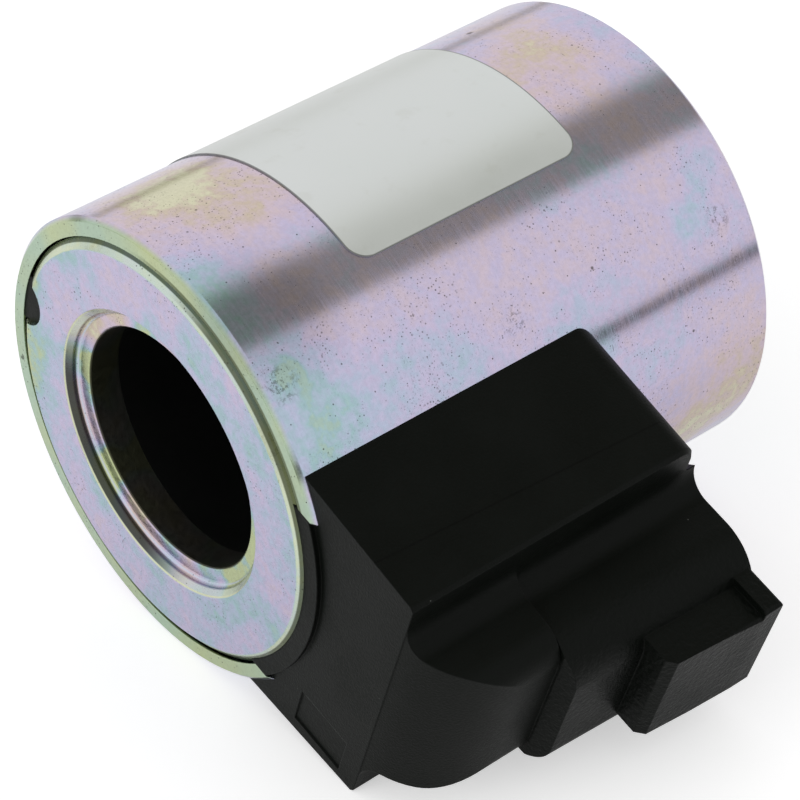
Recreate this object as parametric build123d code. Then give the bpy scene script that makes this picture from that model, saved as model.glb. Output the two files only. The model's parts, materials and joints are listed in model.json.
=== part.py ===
from build123d import *
import os
from math import asin, atan2, cos, degrees, hypot, radians, sin, sqrt, tan

# Solenoid valve coil, in millimetres.
# It is modelled with the bore along Z, the front rim of the yoke tube at z = 0, the coil behind it
# (z < 0) and the connector towards +X. as_resting() then lays each piece down as the coil rests,
# with the origin in the bore, halfway along the tube.

# Yoke tube
TUBE_R = 22.5
TUBE_WALL = 1.8
TUBE_L = 53.0
TUBE_CHAMFER = 0.45
SLOT_W = 24.0
SLOT_L = 27.0
SLOT_CORNER_R = 2.0

# Bore that the valve's tube passes through
BORE_R = 11.7

# Flux plates
PLATE_T = 4.5
PLATE_GAP = 0.15
PLATE_PROUD = 0.4
PLATE_SUNK = 0.5
BEVEL_W = 0.95
BEVEL_H = 0.7
SEAT_R = 13.4
SEAT_DEPTH = 1.25
SEAT_CHAMFER = 0.65
SEAT_CORNER = 0.4
LIP_CHAMFER = 0.2
NOTCH_R = 2.9
NOTCH_SUNK = 0.15

# Bobbin and winding
BARREL_WALL = 1.2
FLANGE_T = 2.4
WINDING_R = 17.8
TAPE_T = 0.25
TAPE_MARGIN = 2.6
LEAD_R = 0.25
SLEEVE_R = 0.5
START_ANGLE = 28.0
FINISH_ANGLE = 24.0
FINISH_DROP = 1.2
SLEEVE_START = 1.0
JOINT_L = 1.0
DUCT_GAP = 0.1

# Saddle block
SADDLE_RISE = 8.5
SADDLE_TOP_W = 29.1
SADDLE_DRAFT = 4.0
SADDLE_L = 32.1
SADDLE_SETBACK = 0.5
SADDLE_BEVEL = 0.35
SADDLE_REAR_R = 2.0
PLUG_RIM = 0.6

# Connector: an elbow that grows out of the saddle, then a shell that opens to the rear
FLARE_R = 2.45
ELBOW_W = 18.5
ELBOW_TAPER = 0.5
ELBOW_RISE = 7.3
ELBOW_R = 8.3
ELBOW_CROWN_R = 3.0
SEAM = 0.08
SHELL_FRONT = 12.6
SHELL_REAR = 33.4
SHELL_W = 17.0
SHELL_CROWN_R = 5.0
SHELL_LOWER_R = 2.6
SHELL_STEP = 2.05
SHELL_STEP_LEAN = 0.75
SHELL_SPREAD = 0.8
SHELL_H = 16.6
SOCKET_WALL = 1.8
SOCKET_DEPTH = 18.0
SOCKET_CORNER_R = 2.0
SOCKET_CHAMFER = 0.5

# Latch ramp on the shell
LATCH_FRONT = 20.9
LATCH_W = 11.6
LATCH_TAPER = 0.35
LATCH_NOSE = 0.8
LATCH_RISE_FRONT = 2.6
LATCH_RISE_REAR = 3.3
LATCH_END_L = 2.1
LATCH_END_STEP = 0.8
LATCH_END_R = 0.4

# Pins and the terminals that they are joined to
PIN_R = 0.785
PIN_PITCH = 5.84
PIN_L = 15.0
PIN_TIP = 0.9
STRIP_W = 2.4
STRIP_T = 0.8
STRIP_BEND_R = 1.2
STRIP_LAP = 2.0
TANG_GAP = 0.2
TANG_END = 1.0

# Bare mark field on the front of the saddle
FIELD_X = 25.6
FIELD_Y = -11.6
FIELD_W = 6.3
FIELD_H = 4.3
FIELD_DEPTH = 0.15

# Label
LABEL_T = 0.12
LABEL_W = 50.0
LABEL_L = 25.6
LABEL_FRONT = 14.2
LABEL_ANGLE = 79.0
LABEL_CORNER_R = 2.0

# Places worked out from the sizes above
TUBE_BORE_R = TUBE_R - TUBE_WALL
PLATE_R = TUBE_BORE_R - PLATE_GAP
PLATE_BACK = PLATE_PROUD - PLATE_T
SEAT_FLOOR = PLATE_PROUD - SEAT_DEPTH
REAR_FACE = PLATE_SUNK - TUBE_L
REAR_BACK = REAR_FACE + PLATE_T
BARREL_R = BORE_R + BARREL_WALL
FLANGE_R = WINDING_R + TAPE_T
FLANGE_FRONT = PLATE_BACK - FLANGE_T
FLANGE_REAR = REAR_BACK + FLANGE_T
START_Z = FLANGE_FRONT + SLEEVE_R
FINISH_Z = FLANGE_FRONT - FINISH_DROP
SADDLE_X = TUBE_R + SADDLE_RISE
SADDLE_FRONT = -SADDLE_SETBACK
ELBOW_X = SADDLE_X + ELBOW_RISE
SHELL_FRONT_X = ELBOW_X + SHELL_STEP
SHELL_X = SHELL_FRONT_X + SHELL_SPREAD
SHELL_IN_X = SHELL_X - SHELL_H
SHELL_RISE = degrees(atan2(SHELL_SPREAD, SHELL_REAR - SHELL_FRONT))
LATCH_ROOT_X = SHELL_FRONT_X - SHELL_CROWN_R
LATCH_END_FRONT = LATCH_END_L - SHELL_REAR
SOCKET_X = (SHELL_X + SHELL_IN_X) / 2
SOCKET_FLOOR = SOCKET_DEPTH - SHELL_REAR
TANG_X = FLANGE_R + TANG_GAP + STRIP_T / 2
TANG_SIDE = (PIN_PITCH + STRIP_W) / 2

# The coil lies on its tube and on the lower outer edge of the saddle
REST_X = SADDLE_X - SADDLE_BEVEL * cos(radians(SADDLE_DRAFT))
REST_Y = SADDLE_TOP_W / 2 + SADDLE_BEVEL * sin(radians(SADDLE_DRAFT))
REST_TILT = degrees(asin(TUBE_R / hypot(REST_X, REST_Y)) - atan2(REST_Y, REST_X))


def as_resting(piece):
    """Lay a piece down: bore along Y with its front towards -Y, connector towards +X and down."""
    tilt = radians(REST_TILT)
    lying = Plane((0, -TUBE_L / 2, 0), x_dir=(cos(tilt), 0, -sin(tilt)), z_dir=(0, -1, 0))
    return lying.location * piece


def turned(*outline):
    """Solid turned about the bore from a closed outline of (radius, z) points."""
    return revolve(Plane.XZ * make_face(Polyline(*outline, close=True)), Axis.Z)


def round_bar(radius, front, rear):
    """Cylinder on the bore's axis between two z values."""
    return Pos(0, 0, rear) * Cylinder(radius, front - rear, align=(Align.CENTER, Align.CENTER, Align.MIN))


def slot_block(front, x_end):
    """What fills the tube's slot, from the bore's axis out to x_end."""
    depth = SLOT_L + front
    outline = Pos(0, front - depth / 2) * Rectangle(SLOT_W, depth)
    outline = fillet(outline.vertices().group_by(Axis.Y)[0], SLOT_CORNER_R)
    return extrude(Plane.YZ * outline, x_end)


def yoke_tube():
    rear = -TUBE_L
    tube = turned(
        (TUBE_BORE_R, 0),
        (TUBE_R - TUBE_CHAMFER, 0),
        (TUBE_R, -TUBE_CHAMFER),
        (TUBE_R, rear + TUBE_CHAMFER),
        (TUBE_R - TUBE_CHAMFER, rear),
        (TUBE_BORE_R, rear),
    )
    return tube - slot_block(0, TUBE_R)


def front_flux_plate():
    """Plate with a seal seat round its bore and a notch at its edge, away from the connector."""
    plate = turned(
        (BORE_R, PLATE_BACK),
        (PLATE_R, PLATE_BACK),
        (PLATE_R, PLATE_PROUD - BEVEL_H),
        (PLATE_R - BEVEL_W, PLATE_PROUD),
        (SEAT_R + SEAT_CHAMFER, PLATE_PROUD),
        (SEAT_R, PLATE_PROUD - SEAT_CHAMFER),
        (SEAT_R, SEAT_FLOOR + SEAT_CORNER),
        (SEAT_R - SEAT_CORNER, SEAT_FLOOR),
        (BORE_R + LIP_CHAMFER, SEAT_FLOOR),
        (BORE_R, SEAT_FLOOR - LIP_CHAMFER),
    )
    return plate - Pos(-TUBE_BORE_R, 0, 0) * round_bar(NOTCH_R, PLATE_PROUD, PLATE_BACK)


def rear_flux_plate():
    return turned(
        (BORE_R, REAR_BACK),
        (PLATE_R, REAR_BACK),
        (PLATE_R, REAR_FACE + BEVEL_H),
        (PLATE_R - BEVEL_W, REAR_FACE),
        (BORE_R + SEAT_CHAMFER, REAR_FACE),
        (BORE_R, REAR_FACE + SEAT_CHAMFER),
    )


def polar(radius, angle, z):
    return Vector(radius * cos(radians(angle)), radius * sin(radians(angle)), z)


def start_line():
    """Where the winding's first lead runs: from the barrel, through the front flange, to its terminal."""
    return polar(BARREL_R + LEAD_R, START_ANGLE, START_Z), Vector(TANG_X, TANG_SIDE, START_Z)


def finish_line():
    """Where the last lead runs: from the outside of the winding to the other terminal."""
    return polar(WINDING_R + LEAD_R, -FINISH_ANGLE, FINISH_Z), Vector(TANG_X, -TANG_SIDE, FINISH_Z)


def bobbin():
    """Spool between the two plates, with a groove in the front flange for the start lead."""
    spool = turned(
        (BORE_R, PLATE_BACK),
        (FLANGE_R, PLATE_BACK),
        (FLANGE_R, FLANGE_FRONT),
        (BARREL_R, FLANGE_FRONT),
        (BARREL_R, FLANGE_REAR),
        (FLANGE_R, FLANGE_REAR),
        (FLANGE_R, REAR_BACK),
        (BORE_R, REAR_BACK),
    )
    root, tang = start_line()
    depth = START_Z + SLEEVE_R - FLANGE_FRONT
    groove = Box((tang - root).length, 2 * SLEEVE_R, depth, align=(Align.MIN, Align.CENTER, Align.CENTER))
    return spool - Plane(root, x_dir=tang - root).location * groove


def winding():
    return round_bar(WINDING_R, FLANGE_FRONT, FLANGE_REAR) - round_bar(BARREL_R, FLANGE_FRONT, FLANGE_REAR)


def winding_tape():
    front = FLANGE_FRONT - TAPE_MARGIN
    return round_bar(WINDING_R + TAPE_T, front, FLANGE_REAR) - round_bar(WINDING_R, front, FLANGE_REAR)


def lead(root, tang, terminal_piece):
    """Straight end of the winding's wire, cut where it meets the side of its terminal."""
    wire = extrude(Plane(root, z_dir=tang - root) * Circle(LEAD_R), (tang - root).length + LEAD_R)
    return wire - terminal_piece


def lead_duct(root, tang):
    """Straight room that the fill leaves round a lead and its sleeve."""
    across = 2 * (SLEEVE_R + DUCT_GAP)
    section = Plane(root, x_dir=(0, 0, 1), z_dir=tang - root) * Rectangle(across, across)
    return extrude(section, (tang - root).length + LEAD_R)


def lead_sleeve(root, tang):
    """Sleeve over a lead, short of both its ends."""
    length = (tang - root).length - SLEEVE_START - JOINT_L
    start = Plane(root + (tang - root).normalized() * SLEEVE_START, z_dir=tang - root)
    return extrude(start * (Circle(SLEEVE_R) - Circle(LEAD_R)), length)


def terminal(side):
    """Strip that runs forward from the root of its pin, in through the slot and down to a tang."""
    strip_line = FilletPolyline(
        (SOCKET_X, SOCKET_FLOOR),
        (SOCKET_X, START_Z),
        (TANG_X, START_Z),
        (TANG_X, FINISH_Z - TANG_END),
        radius=STRIP_BEND_R,
    )
    strip = extrude(Plane.XZ * trace(strip_line, STRIP_T), STRIP_W / 2, both=True)
    return Pos(0, side * PIN_PITCH / 2, 0) * strip


def pin(side, terminal_piece):
    """Round pin in the socket, with its root slotted for the terminal."""
    root = SOCKET_FLOOR + STRIP_LAP
    tip = SOCKET_FLOOR - PIN_L
    bar = turned(
        (0, root),
        (PIN_R, root),
        (PIN_R, tip + PIN_TIP),
        (PIN_R / 2, tip),
        (0, tip),
    )
    return Pos(SOCKET_X, side * PIN_PITCH / 2, 0) * bar - terminal_piece


def saddle():
    """Block with drafted sides that sits on the tube, behind its front rim."""
    top_half = SADDLE_TOP_W / 2
    root_half = top_half + SADDLE_X * tan(radians(SADDLE_DRAFT))
    half_outline = Polyline((0, 0), (0, root_half), (SADDLE_X, top_half), (SADDLE_X, 0), close=True)
    half_block = Pos(0, 0, SADDLE_FRONT) * extrude(make_face(half_outline), -SADDLE_L)
    block = half_block + mirror(half_block, Plane.XZ)
    rear_edges = block.edges().group_by(Axis.Z)[0].filter_by(lambda edge: abs(edge.center().Y) > top_half)
    block = fillet(rear_edges, SADDLE_REAR_R)
    outer_edges = block.faces().sort_by(Axis.X)[-1].edges().sort_by(Axis.Z)[:-1]
    return chamfer(outer_edges, SADDLE_BEVEL)


def connector_section(top_x, width, top_width, crown_r):
    """Section across the connector: flared where it leaves the saddle, with a crowned outer side."""
    half = width / 2
    half_section = make_face([
        Polyline(
            (top_x, 0),
            (SHELL_IN_X, 0),
            (SHELL_IN_X, half),
            (SADDLE_X - FLARE_R, half),
            (SADDLE_X, half + FLARE_R),
        ),
        RadiusArc((SADDLE_X, half + FLARE_R), (SADDLE_X + FLARE_R, half), -FLARE_R),
        Polyline((SADDLE_X + FLARE_R, half), (top_x, top_width / 2), (top_x, 0)),
    ])
    crown = half_section.vertices().group_by(Axis.X)[-1].sort_by(Axis.Y)[-1]
    half_section = fillet(crown, crown_r)
    return half_section + mirror(half_section, Plane.XZ)


def along_connector(*outline):
    """Prism right across the connector from a closed outline of (x, z) points or edges."""
    return extrude(Plane.XZ * make_face(outline), SADDLE_TOP_W, both=True)


def elbow():
    """Rounded front part of the connector, which turns out of the saddle's front towards the rear."""
    front = SADDLE_FRONT - SEAM
    arc_depth = sqrt(ELBOW_R**2 - (ELBOW_R - ELBOW_RISE) ** 2)
    section = connector_section(ELBOW_X, ELBOW_W, ELBOW_W - 2 * ELBOW_TAPER, ELBOW_CROWN_R)
    block = Pos(0, 0, front) * extrude(section, -SHELL_FRONT - front)
    return block & along_connector(
        Line((SHELL_IN_X, front), (SADDLE_X, front)),
        RadiusArc((SADDLE_X, front), (ELBOW_X, front - arc_depth), ELBOW_R),
        Line((ELBOW_X, front - arc_depth), (ELBOW_X, -SHELL_FRONT)),
        Line((ELBOW_X, -SHELL_FRONT), (SHELL_IN_X, -SHELL_FRONT)),
        Line((SHELL_IN_X, -SHELL_FRONT), (SHELL_IN_X, front)),
    )


def latch_block(width, front, rear):
    """Block with slightly bevelled upper edges, from inside the shell out to the latch's highest line."""
    height = SHELL_X + LATCH_RISE_REAR - LATCH_ROOT_X
    root = Plane((LATCH_ROOT_X, 0, (front + rear) / 2), x_dir=(0, 1, 0), z_dir=(1, 0, 0))
    block = extrude(root * Rectangle(width, front - rear), height)
    side_edges = block.faces().sort_by(Axis.X)[-1].edges().filter_by(Axis.Z)
    return chamfer(side_edges, LATCH_TAPER)


def latch():
    """Ramp on the shell with a block at its rear end that is wider on the upper side."""
    ramp = latch_block(LATCH_W, -LATCH_FRONT, LATCH_END_FRONT)
    ramp &= along_connector(
        Polyline(
            (LATCH_ROOT_X, -LATCH_FRONT),
            (SHELL_X + LATCH_RISE_FRONT - LATCH_NOSE, -LATCH_FRONT),
            (SHELL_X + LATCH_RISE_FRONT, -LATCH_FRONT - LATCH_NOSE),
            (SHELL_X + LATCH_RISE_REAR, LATCH_END_FRONT),
            (LATCH_ROOT_X, LATCH_END_FRONT),
            close=True,
        )
    )
    end = Pos(0, LATCH_END_STEP / 2, 0) * latch_block(
        LATCH_W + LATCH_END_STEP, LATCH_END_FRONT, -SHELL_REAR
    )
    rear_corners = end.edges().filter_by(Axis.X).group_by(Axis.Z)[0]
    return ramp + fillet(rear_corners, LATCH_END_R)


def shell_crown():
    """Outer part of the shell, which rises towards the mouth, with its front face leaning back."""
    height = SHELL_FRONT_X - SADDLE_X
    section = Pos(SADDLE_X + height / 2, 0) * Rectangle(height, SHELL_W)
    section = fillet(section.vertices().group_by(Axis.X)[-1].sort_by(Axis.Y)[0], SHELL_LOWER_R)
    section = fillet(section.vertices().group_by(Axis.Y)[-1].sort_by(Axis.X)[-1], SHELL_CROWN_R)
    level = Pos(-SHELL_FRONT_X, 0, 0) * extrude(section, -TUBE_L)
    return Pos(SHELL_FRONT_X, 0, -SHELL_FRONT) * Rot(0, -SHELL_RISE, 0) * level & along_connector(
        Polyline(
            (SADDLE_X, -SHELL_FRONT),
            (ELBOW_X, -SHELL_FRONT),
            (SHELL_X, -SHELL_FRONT - SHELL_STEP_LEAN * (SHELL_X - ELBOW_X) / SHELL_STEP),
            (SHELL_X, -SHELL_REAR),
            (SADDLE_X, -SHELL_REAR),
            close=True,
        )
    )


def connector_shell():
    """Rear part of the connector with its latch, still solid."""
    section = connector_section(ELBOW_X, SHELL_W, SHELL_W, ELBOW_CROWN_R)
    base = Pos(0, 0, -SHELL_FRONT) * extrude(section, SHELL_FRONT - SHELL_REAR)
    return base + shell_crown() + latch()


def socket():
    """Hollow of the connector, open to the rear, with a chamfered mouth."""
    wide = SHELL_H - 2 * SOCKET_WALL
    high = SHELL_W - 2 * SOCKET_WALL
    hollow = extrude(RectangleRounded(wide, high, SOCKET_CORNER_R), SOCKET_DEPTH)
    widening = 2 * SOCKET_CHAMFER
    mouth_outline = RectangleRounded(wide + widening, high + widening, SOCKET_CORNER_R + SOCKET_CHAMFER)
    mouth = extrude(mouth_outline, SOCKET_CHAMFER, taper=45)
    return Pos(SOCKET_X, 0, -SHELL_REAR) * (hollow + mouth)


def tube_fill():
    """Fill round the bobbin between the plates, with the plug that closes the front plate's notch."""
    ring = round_bar(TUBE_BORE_R, PLATE_BACK, REAR_BACK)
    notch = Pos(-TUBE_BORE_R, 0, 0) * round_bar(NOTCH_R, -NOTCH_SUNK, PLATE_BACK)
    return ring + (notch & round_bar(TUBE_BORE_R, 0, PLATE_BACK))


def neck():
    """What fills the tube's slot, flush with the front rim inside and open to the saddle outside."""
    rim = slot_block(0, TUBE_R) & round_bar(TUBE_R - PLUG_RIM, 0, -SLOT_L)
    return rim + slot_block(SADDLE_FRONT, SADDLE_X - SADDLE_BEVEL)


def front_plate_space():
    """Room for the front plate, its seal seat and the bore in front of the bobbin."""
    return turned(
        (0, PLATE_BACK),
        (PLATE_R, PLATE_BACK),
        (PLATE_R, PLATE_PROUD - BEVEL_H),
        (PLATE_R - BEVEL_W, PLATE_PROUD),
        (0, PLATE_PROUD),
    )


def mark_field():
    """Shallow bare rectangle on the saddle's front."""
    return Pos(FIELD_X, FIELD_Y, SADDLE_FRONT) * extrude(Rectangle(FIELD_W, FIELD_H), -FIELD_DEPTH)


def moulded_body(metal_inserts):
    """One moulding: the fill inside the tube, the neck in its slot, the saddle and the connector."""
    outside = saddle() + elbow() + connector_shell() - round_bar(TUBE_R, 0, -TUBE_L)
    through_slot = neck() - front_plate_space()
    body = outside + through_slot + tube_fill() - socket() - mark_field()
    bobbin_room = round_bar(FLANGE_R, PLATE_BACK, REAR_BACK)
    for room in (bobbin_room, *metal_inserts, lead_duct(*start_line()), lead_duct(*finish_line())):
        body -= room
    return body


def label():
    """Thin sheet wrapped round the tube, from its visible side edge over the top."""
    strip = Pos(TUBE_R + LABEL_T / 2, -LABEL_FRONT - LABEL_L / 2) * Rectangle(LABEL_T, LABEL_L)
    sheet = revolve(Plane.XZ * strip, Axis.Z, degrees(LABEL_W / TUBE_R))
    corners = sheet.edges().filter_by(lambda edge: edge.length < 2 * LABEL_T)
    return Rot(0, 0, LABEL_ANGLE) * fillet(corners, LABEL_CORNER_R)


def coil_pieces():
    upper_terminal = terminal(1)
    lower_terminal = terminal(-1)
    metal_inserts = {
        "upper_pin": pin(1, upper_terminal),
        "lower_pin": pin(-1, lower_terminal),
        "upper_terminal": upper_terminal,
        "lower_terminal": lower_terminal,
    }
    return {
        "yoke_tube": yoke_tube(),
        "front_flux_plate": front_flux_plate(),
        "rear_flux_plate": rear_flux_plate(),
        "bobbin": bobbin(),
        "winding": winding(),
        "winding_tape": winding_tape(),
        "start_lead": lead(*start_line(), upper_terminal),
        "finish_lead": lead(*finish_line(), lower_terminal),
        "start_lead_sleeve": lead_sleeve(*start_line()),
        "finish_lead_sleeve": lead_sleeve(*finish_line()),
        **metal_inserts,
        "moulded_body": moulded_body(metal_inserts.values()),
        "label": label(),
    }


os.makedirs("parts", exist_ok=True)
for name, piece in coil_pieces().items():
    export_step(as_resting(piece), f"parts/{name}.step")
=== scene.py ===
import json
from math import cos, radians, sin

import bpy
from mathutils import Matrix, Vector


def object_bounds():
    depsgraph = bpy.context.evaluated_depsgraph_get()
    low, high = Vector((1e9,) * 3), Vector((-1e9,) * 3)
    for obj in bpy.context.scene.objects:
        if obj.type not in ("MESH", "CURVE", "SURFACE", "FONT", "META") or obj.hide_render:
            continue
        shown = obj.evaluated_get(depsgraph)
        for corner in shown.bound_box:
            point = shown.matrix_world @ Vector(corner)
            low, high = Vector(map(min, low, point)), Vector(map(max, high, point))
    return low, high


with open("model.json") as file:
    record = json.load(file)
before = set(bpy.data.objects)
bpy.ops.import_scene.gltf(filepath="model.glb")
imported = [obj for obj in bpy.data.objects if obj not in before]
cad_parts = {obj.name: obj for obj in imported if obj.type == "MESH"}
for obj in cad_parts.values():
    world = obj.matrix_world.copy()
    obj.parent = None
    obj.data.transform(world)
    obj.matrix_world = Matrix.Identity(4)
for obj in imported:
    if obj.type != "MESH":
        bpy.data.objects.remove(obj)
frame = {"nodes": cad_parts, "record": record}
cad_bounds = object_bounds()

# The coil lies with its bore along Y, front end towards -Y, and its connector towards +X.
# Lengths of the coil and inside the materials are in millimetres, everything else is in metres.
MM = 0.001
TUBE_R = 22.5
TUBE_HALF_L = 26.5
RIM_INNER_R = 21.0
PLATE_BEVEL_R = 19.6
PLATE_EDGE_R = 20.1
SEAT_RIM_R = 14.05
SEAT_R = 13.4
SEAT_WALL = (SEAT_R - 0.14, SEAT_R - 0.06)
SEAT_WALL_END = (SEAT_R + 0.04, SEAT_R + 0.1)
SEAT_CONE = (SEAT_R + 0.02, SEAT_R + 0.08)
SEAT_LINE = (SEAT_RIM_R - 0.2, SEAT_RIM_R - 0.12)
SEAT_CORNER = (SEAT_R - 0.34, SEAT_R - 0.24)
SEAT_CORNER_END = (SEAT_R - 0.2, SEAT_R - 0.14)
BORE_R = 11.7
LABEL_HALF_W = 25.0
LABEL_HALF_L = 12.8
LABEL_CORNER_R = 2.0
LABEL_Y = 0.5
LABEL_ANGLE = 126.6
REST_TILT = radians(16.1)
SADDLE_UP = 14.0
SEAM_OUT = 27.2
SEAM_SLOPE = 0.055
SHELL_OUT = 34.0
SHELL_FRONT_Y = -13.9

# Camera, fitted to the photograph
LENS = 144.47
SENSOR = 36.0
CAMERA_PLACE = Vector((175.89, -148.04, 185.61)) * MM
CAMERA_AIM = Vector((15.54, -12.05, 8.37)) * MM
CAMERA_ROLL = radians(0.26)

# Floor and light. The gap's and the skyline's soft edges are given along a direction of length 1.
FLOOR_SIZE = 0.8
FLOOR_WHITE = 0.86
FLOOR_LIFT = 0.47
MIRRORED_LIFT = 0.2
WORLD_LIGHT = 0.68
STUDIO_WHITE = 0.85
GAP_DARK = 0.6
SKYLINE_DARK = 0.8
GAP_LEFT = (-0.3, -0.02)
GAP_RIGHT = (0.28, 0.38)
GAP_BEHIND = (-0.1, 0.2)
GAP_UP = (0.4, 0.62)
SKYLINE_BOTTOM = (-0.12, -0.08)
SKYLINE_TOP = (0.0, 0.04)
SKYLINE_LEFT = (-0.4, 0.4)
SKYLINE_LEFT_SHARE = 0.6
KEY_PLACE = Vector((-0.1, -0.95, 0.3))
KEY_SIZE = 0.6
KEY_POWER = 3.0

# Range in which nearly all of a noise texture's values lie
NOISE_LOW = 0.3
NOISE_HIGH = 0.7

# How strongly dirt colours and roughens the steel
DIRT_COVER = 0.7
DIRT_ROUGHNESS = 0.3


def srgb(red, green, blue):
    """Linear colour from the 0 to 255 values seen on a screen."""
    channels = []
    for value in (red, green, blue):
        share = value / 255
        channels.append(share / 12.92 if share <= 0.04045 else ((share + 0.055) / 1.055) ** 2.4)
    return (*channels, 1.0)


BLACK = (0.0, 0.0, 0.0, 1.0)
WHITE = (1.0, 1.0, 1.0, 1.0)

# Colours of the chromate film
YELLOW = srgb(230, 227, 196)
PEACH = srgb(220, 203, 187)
PINK = srgb(224, 205, 216)
LAVENDER = srgb(213, 203, 232)
BLUE = srgb(196, 206, 230)
AQUA = srgb(176, 207, 213)
GREEN = srgb(188, 211, 188)
LIME = srgb(204, 214, 166)

# Other colours of the plated steel: its dirt, then painted shade and painted highlights at the rim, the
# plate's bevel and edge, the seal seat and the bore
DIRT = srgb(70, 68, 62)
RIM_SHADE = srgb(88, 98, 58)
BEVEL_HIGHLIGHT = srgb(236, 244, 226)
EDGE_SHADE = srgb(74, 82, 50)
LIP_HIGHLIGHT = srgb(214, 226, 216)
LIP_LINE_HIGHLIGHT = srgb(226, 230, 196)
WALL_SHADE = srgb(40, 42, 34)
CORNER_HIGHLIGHT = srgb(214, 224, 240)
BORE_SHADE = srgb(66, 66, 52)

# Shade of the world where metal mirrors its dark parts
WARM_SHADE = (1.0, 1.0, 0.7, 1.0)

# Film's colours by its thickness, from 0 to 1
FILM_STOPS = (
    (0.0, YELLOW),
    (0.12, PEACH),
    (0.28, PINK),
    (0.5, LAVENDER),
    (0.66, BLUE),
    (0.8, AQUA),
    (0.92, GREEN),
    (1.0, LIME),
)
THICKEST_ON_TUBE = 0.87

# Marks on the tube, each by its angle up from the floor's plane on the connector's side and its y.
# A tint has its reach and its change of the film's thickness, and the rest have their reach.
TINTS = (
    (100.0, -17.0, 12.0, -0.3),
    (112.0, -19.0, 9.0, -0.22),
    (92.0, -14.0, 7.0, -0.14),
    (72.0, -25.5, 6.0, 0.12),
    (48.5, -23.5, 2.6, 0.22),
    (36.0, -24.5, 8.0, 0.2),
    (-10.0, 21.0, 13.0, -0.26),
    (-22.0, 19.0, 11.0, -0.1),
    (38.0, 20.0, 3.5, 0.24),
    (46.5, 23.0, 3.5, 0.22),
    (82.0, 17.0, 11.0, -0.2),
    (103.0, 17.0, 11.0, -0.16),
)
SMUDGES = (
    (35.8, -1.5, 1.6),
    (34.9, 22.7, 1.8),
    (47.5, -24.7, 2.4),
)
CROWDS = (
    (50.6, -7.7, 4.5),
    (45.0, -9.5, 4.0),
    (31.0, -11.0, 3.5),
    (51.0, -19.5, 3.5),
    (98.0, -13.5, 4.5),
    (56.0, 6.0, 5.0),
)
# Painted shade near the tube's front rim: angle, y and reach of a darker patch
PAINTED_SHADE_SPOT = (62.0, -22.5, 9.0)
DARK_SPOT = (115.9, 17.7, 0.5)


class Graph:
    """Node tree of a material or the world, with short calls that each return a socket."""

    def __init__(self, owner):
        owner.use_nodes = True
        self.tree = owner.node_tree
        self.tree.nodes.clear()

    def feed(self, socket, value):
        if isinstance(value, bpy.types.NodeSocket):
            self.tree.links.new(value, socket)
        else:
            socket.default_value = value

    def node(self, kind, inputs=None, **settings):
        made = self.tree.nodes.new(kind)
        for name, value in settings.items():
            setattr(made, name, value)
        for name, value in (inputs or {}).items():
            self.feed(made.inputs[name], value)
        return made

    def maths(self, operation, first, second=0.0):
        return self.node("ShaderNodeMath", {0: first, 1: second}, operation=operation).outputs[0]

    def times(self, first, second):
        return self.maths("MULTIPLY", first, second)

    def plus(self, first, second):
        return self.maths("ADD", first, second)

    def larger(self, first, second):
        return self.maths("MAXIMUM", first, second)

    def smooth(self, value, start, end, low=0.0, high=1.0):
        """low before start, high after end, with a soft step between them."""
        inputs = {"Value": value, "From Min": start, "From Max": end, "To Min": low, "To Max": high}
        return self.node("ShaderNodeMapRange", inputs, interpolation_type="SMOOTHSTEP").outputs["Result"]

    def spread(self, noise, low, high):
        """Noise turned into values from low to high."""
        return self.smooth(noise, NOISE_LOW, NOISE_HIGH, low, high)

    def vector_maths(self, operation, first, second):
        return self.node("ShaderNodeVectorMath", {0: first, 1: second}, operation=operation)

    def scaled(self, vector, factors):
        return self.vector_maths("MULTIPLY", vector, factors).outputs[0]

    def distance(self, vector, point):
        return self.vector_maths("DISTANCE", vector, point).outputs["Value"]

    def noise(self, vector, size, detail=2.0, roughness=0.5, shift=0.0):
        """Soft noise between 0 and 1 with patches of about that size."""
        moved = self.vector_maths("ADD", vector, (shift, shift, shift)).outputs[0]
        inputs = {"Vector": moved, "Scale": 1 / size, "Detail": detail, "Roughness": roughness}
        return self.node("ShaderNodeTexNoise", inputs).outputs["Fac"]

    def specks(self, vector, spacing, radius, share):
        """Small round marks at random places: 1 inside a mark, for that share of the places."""
        cells = self.node("ShaderNodeTexVoronoi", {"Vector": vector, "Scale": 1 / spacing})
        draw = self.node("ShaderNodeSeparateColor", {0: cells.outputs["Color"]})
        chosen = self.maths("LESS_THAN", draw.outputs[0], share)
        size = self.smooth(draw.outputs[1], 0.0, 1.0, 0.4 * radius / spacing, radius / spacing)
        inputs = {
            "Value": cells.outputs["Distance"],
            "From Min": size,
            "From Max": self.times(size, 1.5),
            "To Min": 1.0,
            "To Max": 0.0,
        }
        inside = self.node("ShaderNodeMapRange", inputs).outputs["Result"]
        return self.times(inside, chosen)

    def ramp(self, value, *stops):
        """Colour along a row of (place, colour) stops."""
        made = self.node("ShaderNodeValToRGB", {"Fac": value})
        band = made.color_ramp
        while len(band.elements) < len(stops):
            band.elements.new(0.5)
        for element, (place, colour) in zip(band.elements, stops):
            element.position = place
            element.color = colour
        return made.outputs["Color"]

    def shades(self, noise, first, second):
        """Noise turned into colours from the first to the second."""
        return self.ramp(noise, (NOISE_LOW, first), (NOISE_HIGH, second))

    def mix(self, share, first, second, blend="MIX"):
        made = self.node("ShaderNodeMix", data_type="RGBA", blend_type=blend)
        self.feed(made.inputs[0], share)
        self.feed(made.inputs[6], first)
        self.feed(made.inputs[7], second)
        return made.outputs[2]

    def bump(self, height, strength, depth, normal=None):
        inputs = {"Height": height, "Strength": strength, "Distance": depth * MM}
        if normal is not None:
            inputs["Normal"] = normal
        return self.node("ShaderNodeBump", inputs).outputs["Normal"]

    def rounded_edges(self, radius):
        return self.node("ShaderNodeBevel", {"Radius": radius * MM}, samples=6).outputs["Normal"]


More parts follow.
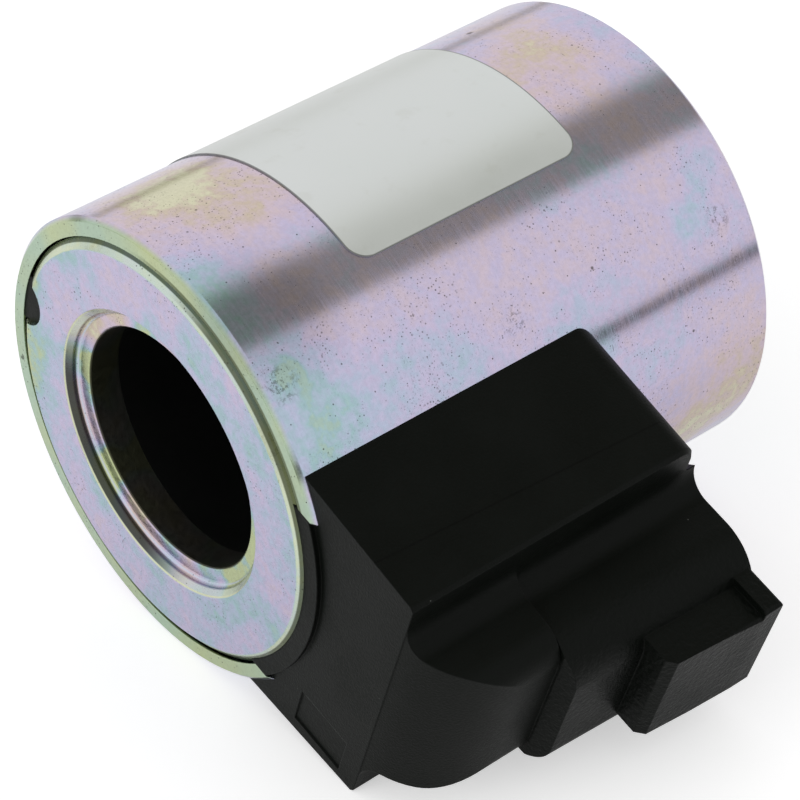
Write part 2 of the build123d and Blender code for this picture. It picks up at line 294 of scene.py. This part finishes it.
def place_mm(graph):
    """Where a point of the surface lies, in millimetres."""
    place = graph.node("ShaderNodeTexCoord").outputs["Object"]
    return graph.scaled(place, (1 / MM, 1 / MM, 1 / MM))


def split(graph, vector):
    parts = graph.node("ShaderNodeSeparateXYZ", {0: vector})
    return parts.outputs[0], parts.outputs[1], parts.outputs[2]


def combined(graph, x, z, x_share, z_share):
    """Distance along a direction in the plane across the bore."""
    return graph.plus(graph.times(x, x_share), graph.times(z, z_share))


def length(graph, first, second):
    return graph.maths("SQRT", graph.plus(graph.times(first, first), graph.times(second, second)))


def new_material(name):
    material = bpy.data.materials.new(name)
    return material, Graph(material)


def finished(graph, colour, roughness, normal, metallic=0.0, **uniform):
    """Close a material with its main shader. What is given by name in uniform is the same all over."""
    shader = graph.node("ShaderNodeBsdfPrincipled")
    graph.feed(shader.inputs["Base Color"], colour)
    graph.feed(shader.inputs["Roughness"], roughness)
    graph.feed(shader.inputs["Normal"], normal)
    shader.inputs["Metallic"].default_value = metallic
    for name, value in uniform.items():
        shader.inputs[name.replace("_", " ")].default_value = value
    graph.node("ShaderNodeOutputMaterial", {"Surface": shader.outputs[0]})


def tube_point(angle, y):
    """Point on the tube's outside, by its angle up from the floor's plane on the connector's side."""
    turned = Matrix.Rotation(-radians(angle), 3, "Y") @ Vector((TUBE_R, 0, 0))
    return (turned.x, y, turned.z)


def tube_patch(graph, place, angle, y, reach):
    """1 at a point of the tube and 0 beyond that reach from it."""
    away = graph.distance(place, tube_point(angle, y))
    return graph.smooth(away, 0.25 * reach, reach, 1.0, 0.0)


def ring(graph, radius, inner, outer):
    """1 between two circles and 0 beyond them. Each has the two radii between which it fades."""
    start, full = inner
    fade, end = outer
    return graph.times(graph.smooth(radius, start, full), graph.smooth(radius, end, fade))


def worn_marks(graph, place, worn):
    """Dark specks of several sizes, denser where the film is worn."""
    large = graph.specks(place, spacing=2.2, radius=0.14, share=0.16)
    small = graph.specks(place, spacing=0.6, radius=0.065, share=0.4)
    dense = graph.times(graph.specks(place, spacing=0.34, radius=0.06, share=0.7), worn)
    return graph.larger(large, graph.larger(small, dense))


def scratches(graph, place, stretch, limit, shift):
    """Short thin lines where stretched noise is at its highest."""
    drawn = graph.noise(graph.scaled(place, stretch), size=1.0, shift=shift)
    return graph.smooth(drawn, limit, limit + 0.05)


def shaded(graph, colour, lightness):
    """Colour made lighter or darker by a factor that changes over the surface."""
    return graph.mix(1.0, colour, graph.ramp(lightness, (0.0, BLACK), (1.0, WHITE)), "MULTIPLY")


def tube_film(graph, place):
    """Colour of the chromate film on the tube's outside."""
    clouds = graph.noise(place, size=11.0)
    mottle = graph.noise(place, size=1.3, roughness=0.6, shift=7.0)
    thickness = graph.plus(graph.spread(clouds, 0.4, 0.66), graph.spread(mottle, -0.08, 0.08))
    for angle, y, reach, change in TINTS:
        tint = tube_patch(graph, place, angle, y, reach)
        thickness = graph.plus(thickness, graph.times(tint, change))
    return graph.ramp(graph.maths("MINIMUM", thickness, THICKEST_ON_TUBE), *FILM_STOPS)


def rim_film(graph, place, x, z):
    """Colour of the film on the tube's front rim, with a painted shade line inside at the upper right.
    """
    colour = graph.ramp(graph.noise(place, size=9.0, shift=3.0), (0.4, GREEN), (0.66, LIME))
    upper_right = graph.smooth(combined(graph, x, z, 0.8, 0.6), 9.0, 16.0)
    inner = graph.smooth(length(graph, x, z), RIM_INNER_R, RIM_INNER_R + 0.2, 1.0, 0.0)
    # Painted shade: the rim's inner edge is darkened towards the upper right.
    return graph.mix(graph.times(graph.times(upper_right, inner), 0.85), colour, RIM_SHADE)


def tube_dirt(graph, place):
    """Share of dirt on the tube: specks, scratches, dust and the marks that the photograph shows."""
    worn = graph.smooth(graph.noise(place, size=6.0, roughness=0.6, shift=21.0), 0.42, 0.6)
    lines = scratches(graph, place, (0.5, 7.0, 0.5), limit=0.76, shift=5.0)
    dirt = graph.larger(worn_marks(graph, place, worn), lines)
    dust = graph.smooth(graph.noise(place, size=0.2, roughness=0.7, shift=51.0), 0.58, 0.7)
    dirt = graph.larger(dirt, graph.times(dust, graph.smooth(worn, 0.0, 1.0, 0.1, 0.4)))
    blots = graph.noise(place, size=0.5, detail=4.0, roughness=0.75, shift=41.0)
    for angle, y, reach in SMUDGES:
        smudge = graph.times(tube_patch(graph, place, angle, y, reach), graph.smooth(blots, 0.5, 0.6))
        dirt = graph.larger(dirt, graph.times(smudge, 0.75))
    fine = graph.specks(place, spacing=0.32, radius=0.07, share=0.6)
    coarse = graph.specks(graph.scaled(place, (1.3, 1.3, 1.3)), spacing=0.7, radius=0.11, share=0.4)
    crowd = graph.times(graph.larger(fine, coarse), 0.8)
    for angle, y, reach in CROWDS:
        dirt = graph.larger(dirt, graph.times(tube_patch(graph, place, angle, y, reach), crowd))
    return graph.larger(dirt, tube_patch(graph, place, *DARK_SPOT))


def yoke_steel():
    material, graph = new_material("yoke_steel")
    place = place_mm(graph)
    x, y, z = split(graph, place)
    on_rim = graph.smooth(y, -TUBE_HALF_L + 0.02, -TUBE_HALF_L + 0.5, 1.0, 0.0)
    colour = graph.mix(on_rim, tube_film(graph, place), rim_film(graph, place, x, z))
    turning = graph.noise(graph.scaled(place, (0.14, 11.0, 0.14)), size=1.0, detail=3.0, roughness=0.6)
    grain = graph.noise(place, size=0.45, detail=3.0, roughness=0.7, shift=13.0)
    lightness = graph.plus(graph.spread(turning, 0.96, 1.0), graph.spread(grain, -0.08, 0.0))
    # Painted shade: the film is made darker around that spot.
    painted_shade = graph.times(tube_patch(graph, place, *PAINTED_SHADE_SPOT), -0.22)
    colour = shaded(graph, colour, graph.plus(lightness, painted_shade))
    dirt = tube_dirt(graph, place)
    colour = graph.mix(graph.times(dirt, DIRT_COVER), colour, DIRT)
    roughness = graph.plus(graph.spread(turning, 0.13, 0.2), graph.times(dirt, DIRT_ROUGHNESS))
    normal = graph.bump(turning, 0.06, 0.02, graph.rounded_edges(0.12))
    normal = graph.bump(grain, 0.1, 0.015, normal)
    finished(graph, colour, roughness, normal, metallic=1.0)
    return material


def seat_painted_light(graph, colour, x, z, radius, seat):
    """Painted highlights on the seal seat's lip, on a line near its rim and on its corner, and painted
    shade on its wall, darkest at the lower left.
    """
    lip = graph.times(seat, graph.smooth(radius, *SEAT_CONE))
    colour = graph.mix(graph.times(lip, 0.6), colour, LIP_HIGHLIGHT)
    line = graph.times(seat, graph.smooth(radius, *SEAT_LINE))
    colour = graph.mix(line, colour, LIP_LINE_HIGHLIGHT)
    wall = ring(graph, radius, SEAT_WALL, SEAT_WALL_END)
    colour = graph.mix(graph.times(wall, 0.3), colour, WALL_SHADE)
    lower_left = graph.smooth(combined(graph, x, z, -0.8, -0.6), 5.0, 11.0)
    cone = graph.times(ring(graph, radius, SEAT_WALL, SEAT_LINE), lower_left)
    colour = graph.mix(graph.times(cone, 0.9), colour, WALL_SHADE)
    corner = ring(graph, radius, SEAT_CORNER, SEAT_CORNER_END)
    return graph.mix(graph.times(corner, 0.7), colour, CORNER_HIGHLIGHT)


def plate_steel():
    material, graph = new_material("plate_steel")
    place = place_mm(graph)
    x, _, z = split(graph, place)
    radius = length(graph, x, z)
    clouds = graph.noise(place, size=8.0, shift=11.0)
    mottle = graph.noise(place, size=1.3, roughness=0.6, shift=5.0)
    thickness = graph.plus(graph.spread(clouds, 0.44, 0.8), graph.spread(mottle, -0.08, 0.08))
    left = graph.smooth(x, -12.0, -20.0)
    thickness = graph.plus(thickness, graph.times(left, 0.3))
    bevel = graph.smooth(radius, PLATE_BEVEL_R - 0.1, PLATE_BEVEL_R + 0.1)
    thickness = graph.plus(thickness, graph.times(bevel, 0.3))
    seat = graph.smooth(radius, SEAT_RIM_R, SEAT_RIM_R - 0.1)
    thickness = graph.plus(thickness, graph.times(seat, graph.smooth(clouds, 0.35, 0.65, -0.4, 0.4)))
    colour = graph.ramp(thickness, *FILM_STOPS)
    grain = graph.noise(place, size=0.5, detail=3.0, roughness=0.7, shift=3.0)
    colour = shaded(graph, colour, graph.spread(grain, 0.88, 1.0))
    edge = graph.smooth(radius, PLATE_EDGE_R, PLATE_EDGE_R + 0.1)
    # Painted highlight on the plate's outer bevel, out to its edge.
    colour = graph.mix(graph.times(graph.maths("SUBTRACT", bevel, edge), 0.6), colour, BEVEL_HIGHLIGHT)
    # Painted shade past the plate's edge. The outer bevel is also darker with the same colour on the
    # right side.
    outer_bevel = graph.smooth(radius, PLATE_BEVEL_R + 0.2, PLATE_BEVEL_R + 0.32)
    right = graph.times(graph.smooth(x, 2.0, 9.0), outer_bevel)
    colour = graph.mix(graph.times(graph.larger(edge, right), 0.85), colour, EDGE_SHADE)
    colour = seat_painted_light(graph, colour, x, z, radius, seat)
    worn = graph.smooth(graph.noise(place, size=4.0, roughness=0.6, shift=31.0), 0.48, 0.66)
    upright = scratches(graph, place, (0.5, 1.0, 6.0), limit=0.78, shift=5.0)
    level = scratches(graph, place, (5.0, 1.0, 0.4), limit=0.78, shift=15.0)
    dirt = graph.larger(worn_marks(graph, place, worn), graph.larger(upright, level))
    outside_bore = graph.smooth(radius, BORE_R + 0.05, BORE_R + 0.15)
    dirt = graph.times(dirt, outside_bore)
    colour = graph.mix(graph.times(dirt, DIRT_COVER), colour, DIRT)
    # Painted shade inside the plate's bore.
    colour = graph.mix(graph.smooth(outside_bore, 0.0, 1.0, 0.95, 0.0), colour, BORE_SHADE)
    roughness = graph.plus(graph.spread(grain, 0.24, 0.36), graph.times(dirt, DIRT_ROUGHNESS))
    roughness = graph.plus(roughness, graph.smooth(outside_bore, 0.0, 1.0, 0.2, 0.0))
    normal = graph.bump(graph.times(grain, outside_bore), 0.15, 0.02, graph.rounded_edges(0.1))
    finished(graph, colour, roughness, normal, metallic=1.0)
    return material


def black_moulding():
    material, graph = new_material("black_moulding")
    place = place_mm(graph)
    x, y, z = split(graph, place)
    out = combined(graph, x, z, cos(REST_TILT), -sin(REST_TILT))
    up = combined(graph, x, z, sin(REST_TILT), cos(REST_TILT))
    clouds = graph.noise(place, size=7.0, detail=3.0, shift=9.0)
    colour = graph.shades(clouds, srgb(9, 12, 9), srgb(12, 15, 12))
    dust = graph.specks(place, spacing=1.4, radius=0.05, share=0.05)
    colour = graph.mix(graph.times(dust, 0.6), colour, srgb(120, 124, 118))
    seam_line = graph.plus(graph.times(y, SEAM_SLOPE), SEAM_OUT)
    off_seam = graph.maths("ABSOLUTE", graph.maths("SUBTRACT", out, seam_line))
    on_saddle = graph.smooth(up, SADDLE_UP, SADDLE_UP + 0.4)
    seam = graph.times(graph.smooth(off_seam, 0.04, 0.14, 1.0, 0.0), on_saddle)
    colour = graph.mix(graph.times(seam, 0.8), colour, srgb(3, 4, 3))
    grain = graph.noise(place, size=0.22, roughness=0.7)
    roughness = graph.plus(graph.spread(clouds, 0.36, 0.44), graph.spread(grain, -0.05, 0.05))
    behind_elbow = graph.smooth(y, SHELL_FRONT_Y - 0.1, SHELL_FRONT_Y + 0.1)
    on_shell = graph.times(graph.smooth(out, SHELL_OUT, SHELL_OUT + 4.0), behind_elbow)
    sparked = graph.times(graph.noise(place, size=0.5, roughness=0.6, shift=2.0), on_shell)
    normal = graph.bump(grain, 0.8, 0.04, graph.rounded_edges(0.18))
    normal = graph.bump(sparked, 0.9, 0.1, normal)
    finished(graph, colour, roughness, normal, Specular_IOR_Level=0.08)
    return material


def bobbin_plastic():
    material, graph = new_material("bobbin_plastic")
    place = place_mm(graph)
    grain = graph.noise(place, size=0.4, detail=3.0, roughness=0.6)
    colour = graph.shades(graph.noise(place, size=5.0), srgb(9, 10, 9), srgb(13, 14, 13))
    normal = graph.bump(grain, 0.2, 0.02)
    finished(graph, colour, graph.spread(grain, 0.4, 0.52), normal, Specular_IOR_Level=0.15)
    return material


def copper_wire():
    material, graph = new_material("copper_wire")
    place = place_mm(graph)
    _, y, _ = split(graph, place)
    turns = graph.maths("SINE", graph.times(y, 12.0))
    colour = graph.shades(graph.noise(place, size=1.5), srgb(190, 104, 62), srgb(214, 132, 84))
    roughness = graph.smooth(turns, -1.0, 1.0, 0.25, 0.4)
    finished(graph, colour, roughness, graph.bump(turns, 0.5, 0.1), metallic=1.0)
    return material


def film_tape():
    material, graph = new_material("film_tape")
    place = place_mm(graph)
    creases = graph.noise(graph.scaled(place, (0.3, 1.0, 0.3)), size=1.5, detail=3.0)
    colour = graph.shades(creases, srgb(206, 158, 48), srgb(226, 184, 82))
    finished(graph, colour, graph.spread(creases, 0.18, 0.3), graph.bump(creases, 0.3, 0.05))
    return material


def sleeve_plastic():
    material, graph = new_material("sleeve_plastic")
    place = place_mm(graph)
    weave = graph.noise(place, size=0.25, detail=1.0)
    colour = graph.shades(weave, srgb(196, 188, 166), srgb(222, 216, 198))
    finished(graph, colour, graph.spread(weave, 0.45, 0.6), graph.bump(weave, 0.4, 0.05))
    return material


def contact_metal():
    material, graph = new_material("contact_metal")
    place = place_mm(graph)
    drawn = graph.noise(graph.scaled(place, (6.0, 0.3, 6.0)), size=1.0, detail=3.0, roughness=0.6)
    colour = graph.shades(drawn, srgb(196, 193, 184), srgb(222, 219, 210))
    normal = graph.bump(drawn, 0.1, 0.02)
    finished(graph, colour, graph.spread(drawn, 0.16, 0.28), normal, metallic=1.0)
    return material


def past(graph, distance, limit):
    """How far a distance lies beyond a limit, or 0."""
    return graph.larger(graph.plus(graph.maths("ABSOLUTE", distance), -limit), 0.0)


def from_label_edge(graph, place):
    """Distance in from the label's outline, a rectangle with round corners wrapped on the tube."""
    x, y, z = split(graph, place)
    middle = tube_point(LABEL_ANGLE, 0.0)
    along = combined(graph, x, z, middle[2], -middle[0])
    across = combined(graph, x, z, middle[0], middle[2])
    round_tube = graph.times(graph.maths("ARCTAN2", along, across), TUBE_R)
    far_round = past(graph, round_tube, LABEL_HALF_W - LABEL_CORNER_R)
    far_along = past(graph, graph.plus(y, -LABEL_Y), LABEL_HALF_L - LABEL_CORNER_R)
    return graph.maths("SUBTRACT", LABEL_CORNER_R, length(graph, far_round, far_along))


def label_film():
    material, graph = new_material("label_film")
    place = place_mm(graph)
    clouds = graph.noise(place, size=8.0, shift=4.0)
    colour = graph.shades(clouds, srgb(227, 231, 229), srgb(230, 233, 232))
    blots = graph.noise(place, size=3.0, detail=3.0, roughness=0.6, shift=17.0)
    smudge = graph.times(graph.smooth(blots, 0.58, 0.74), 0.12)
    colour = graph.mix(smudge, colour, srgb(190, 190, 176))
    edge = graph.smooth(from_label_edge(graph, place), 0.05, 0.17, 1.0, 0.0)
    colour = graph.mix(graph.times(edge, 0.8), colour, srgb(92, 94, 92))
    normal = graph.bump(graph.noise(place, size=1.5), 0.05, 0.02)
    finished(graph, colour, graph.spread(clouds, 0.3, 0.36), normal, metallic=0.5)
    return material


def dress_cad_nodes():
    """Give every node of the coil the finish of its material slot."""
    makers = (
        yoke_steel,
        plate_steel,
        black_moulding,
        bobbin_plastic,
        copper_wire,
        film_tape,
        sleeve_plastic,
        contact_metal,
        label_film,
    )
    finishes = {maker.__name__: maker() for maker in makers}
    for subpart in frame["record"]["subparts"]:
        node = frame["nodes"][subpart["node"]]
        node.data.materials.clear()
        node.data.materials.append(finishes[subpart["material_slot"]])


def floor():
    """Pale floor that looks white and keeps the coil's shadow."""
    level = cad_bounds[0][2]
    half = FLOOR_SIZE / 2
    mesh = bpy.data.meshes.new("floor")
    corners = [(-half, -half, level), (half, -half, level), (half, half, level), (-half, half, level)]
    mesh.from_pydata(corners, [], [(0, 1, 2, 3)])
    surface = bpy.data.objects.new("floor", mesh)
    bpy.context.scene.collection.objects.link(surface)
    material, graph = new_material("floor")
    rays = graph.node("ShaderNodeLightPath")
    seen = graph.times(rays.outputs["Is Camera Ray"], FLOOR_LIFT)
    mirrored = graph.times(rays.outputs["Is Glossy Ray"], MIRRORED_LIFT)
    lift = graph.node("ShaderNodeEmission", {"Strength": graph.plus(seen, mirrored)})
    matt = graph.node("ShaderNodeBsdfDiffuse", {"Color": (FLOOR_WHITE, FLOOR_WHITE, FLOOR_WHITE, 1.0)})
    both = graph.node("ShaderNodeAddShader", {0: matt.outputs[0], 1: lift.outputs[0]})
    graph.node("ShaderNodeOutputMaterial", {"Surface": both.outputs[0]})
    mesh.materials.append(material)


def studio():
    """White studio all round. Metal also mirrors a dark gap in the ceiling behind and a dark skyline."""
    world = bpy.data.worlds.new("studio")
    bpy.context.scene.world = world
    graph = Graph(world)
    rays = graph.node("ShaderNodeLightPath")
    toward = graph.node("ShaderNodeTexCoord").outputs["Generated"]
    x, y, z = split(graph, toward)
    across = graph.times(graph.smooth(x, *GAP_LEFT), graph.smooth(x, *GAP_RIGHT, 1.0, 0.0))
    behind = graph.times(graph.smooth(y, *GAP_BEHIND), graph.smooth(z, *GAP_UP))
    gap = graph.times(across, behind)
    skyline = graph.times(graph.smooth(z, *SKYLINE_BOTTOM), graph.smooth(z, *SKYLINE_TOP, 1.0, 0.0))
    skyline = graph.times(skyline, graph.smooth(x, *SKYLINE_LEFT, SKYLINE_LEFT_SHARE, 1.0))
    dark = graph.larger(graph.times(gap, GAP_DARK), graph.times(skyline, SKYLINE_DARK))
    mirrored = graph.smooth(dark, 0.0, 1.0, STUDIO_WHITE, 0.0)
    seen = graph.larger(rays.outputs["Is Camera Ray"], rays.outputs["Is Transmission Ray"])
    glossy = graph.times(rays.outputs["Is Glossy Ray"], mirrored)
    matt = graph.times(rays.outputs["Is Diffuse Ray"], WORLD_LIGHT)
    strength = graph.plus(seen, graph.plus(glossy, matt))
    tint = graph.mix(graph.times(rays.outputs["Is Glossy Ray"], dark), WHITE, WARM_SHADE)
    light = graph.node("ShaderNodeBackground", {"Color": tint, "Strength": strength})
    graph.node("ShaderNodeOutputWorld", {"Surface": light.outputs[0]})


def key_light():
    lamp = bpy.data.lights.new("key", "AREA")
    lamp.size = KEY_SIZE
    lamp.energy = KEY_POWER
    holder = bpy.data.objects.new("key", lamp)
    holder.location = KEY_PLACE
    holder.rotation_euler = (-KEY_PLACE).to_track_quat("-Z", "Y").to_euler()
    holder.visible_glossy = False
    bpy.context.scene.collection.objects.link(holder)


def camera():
    lens = bpy.data.cameras.new("camera")
    lens.lens = LENS
    lens.sensor_width = SENSOR
    holder = bpy.data.objects.new("camera", lens)
    aim = (CAMERA_AIM - CAMERA_PLACE).to_track_quat("-Z", "Y").to_matrix()
    turn = Matrix.Rotation(CAMERA_ROLL, 3, "Z")
    holder.matrix_world = Matrix.Translation(CAMERA_PLACE) @ (aim @ turn).to_4x4()
    bpy.context.scene.collection.objects.link(holder)
    bpy.context.scene.camera = holder


camera()
studio()
floor()
key_light()
dress_cad_nodes()
bpy.context.scene.view_settings.view_transform = "Standard"
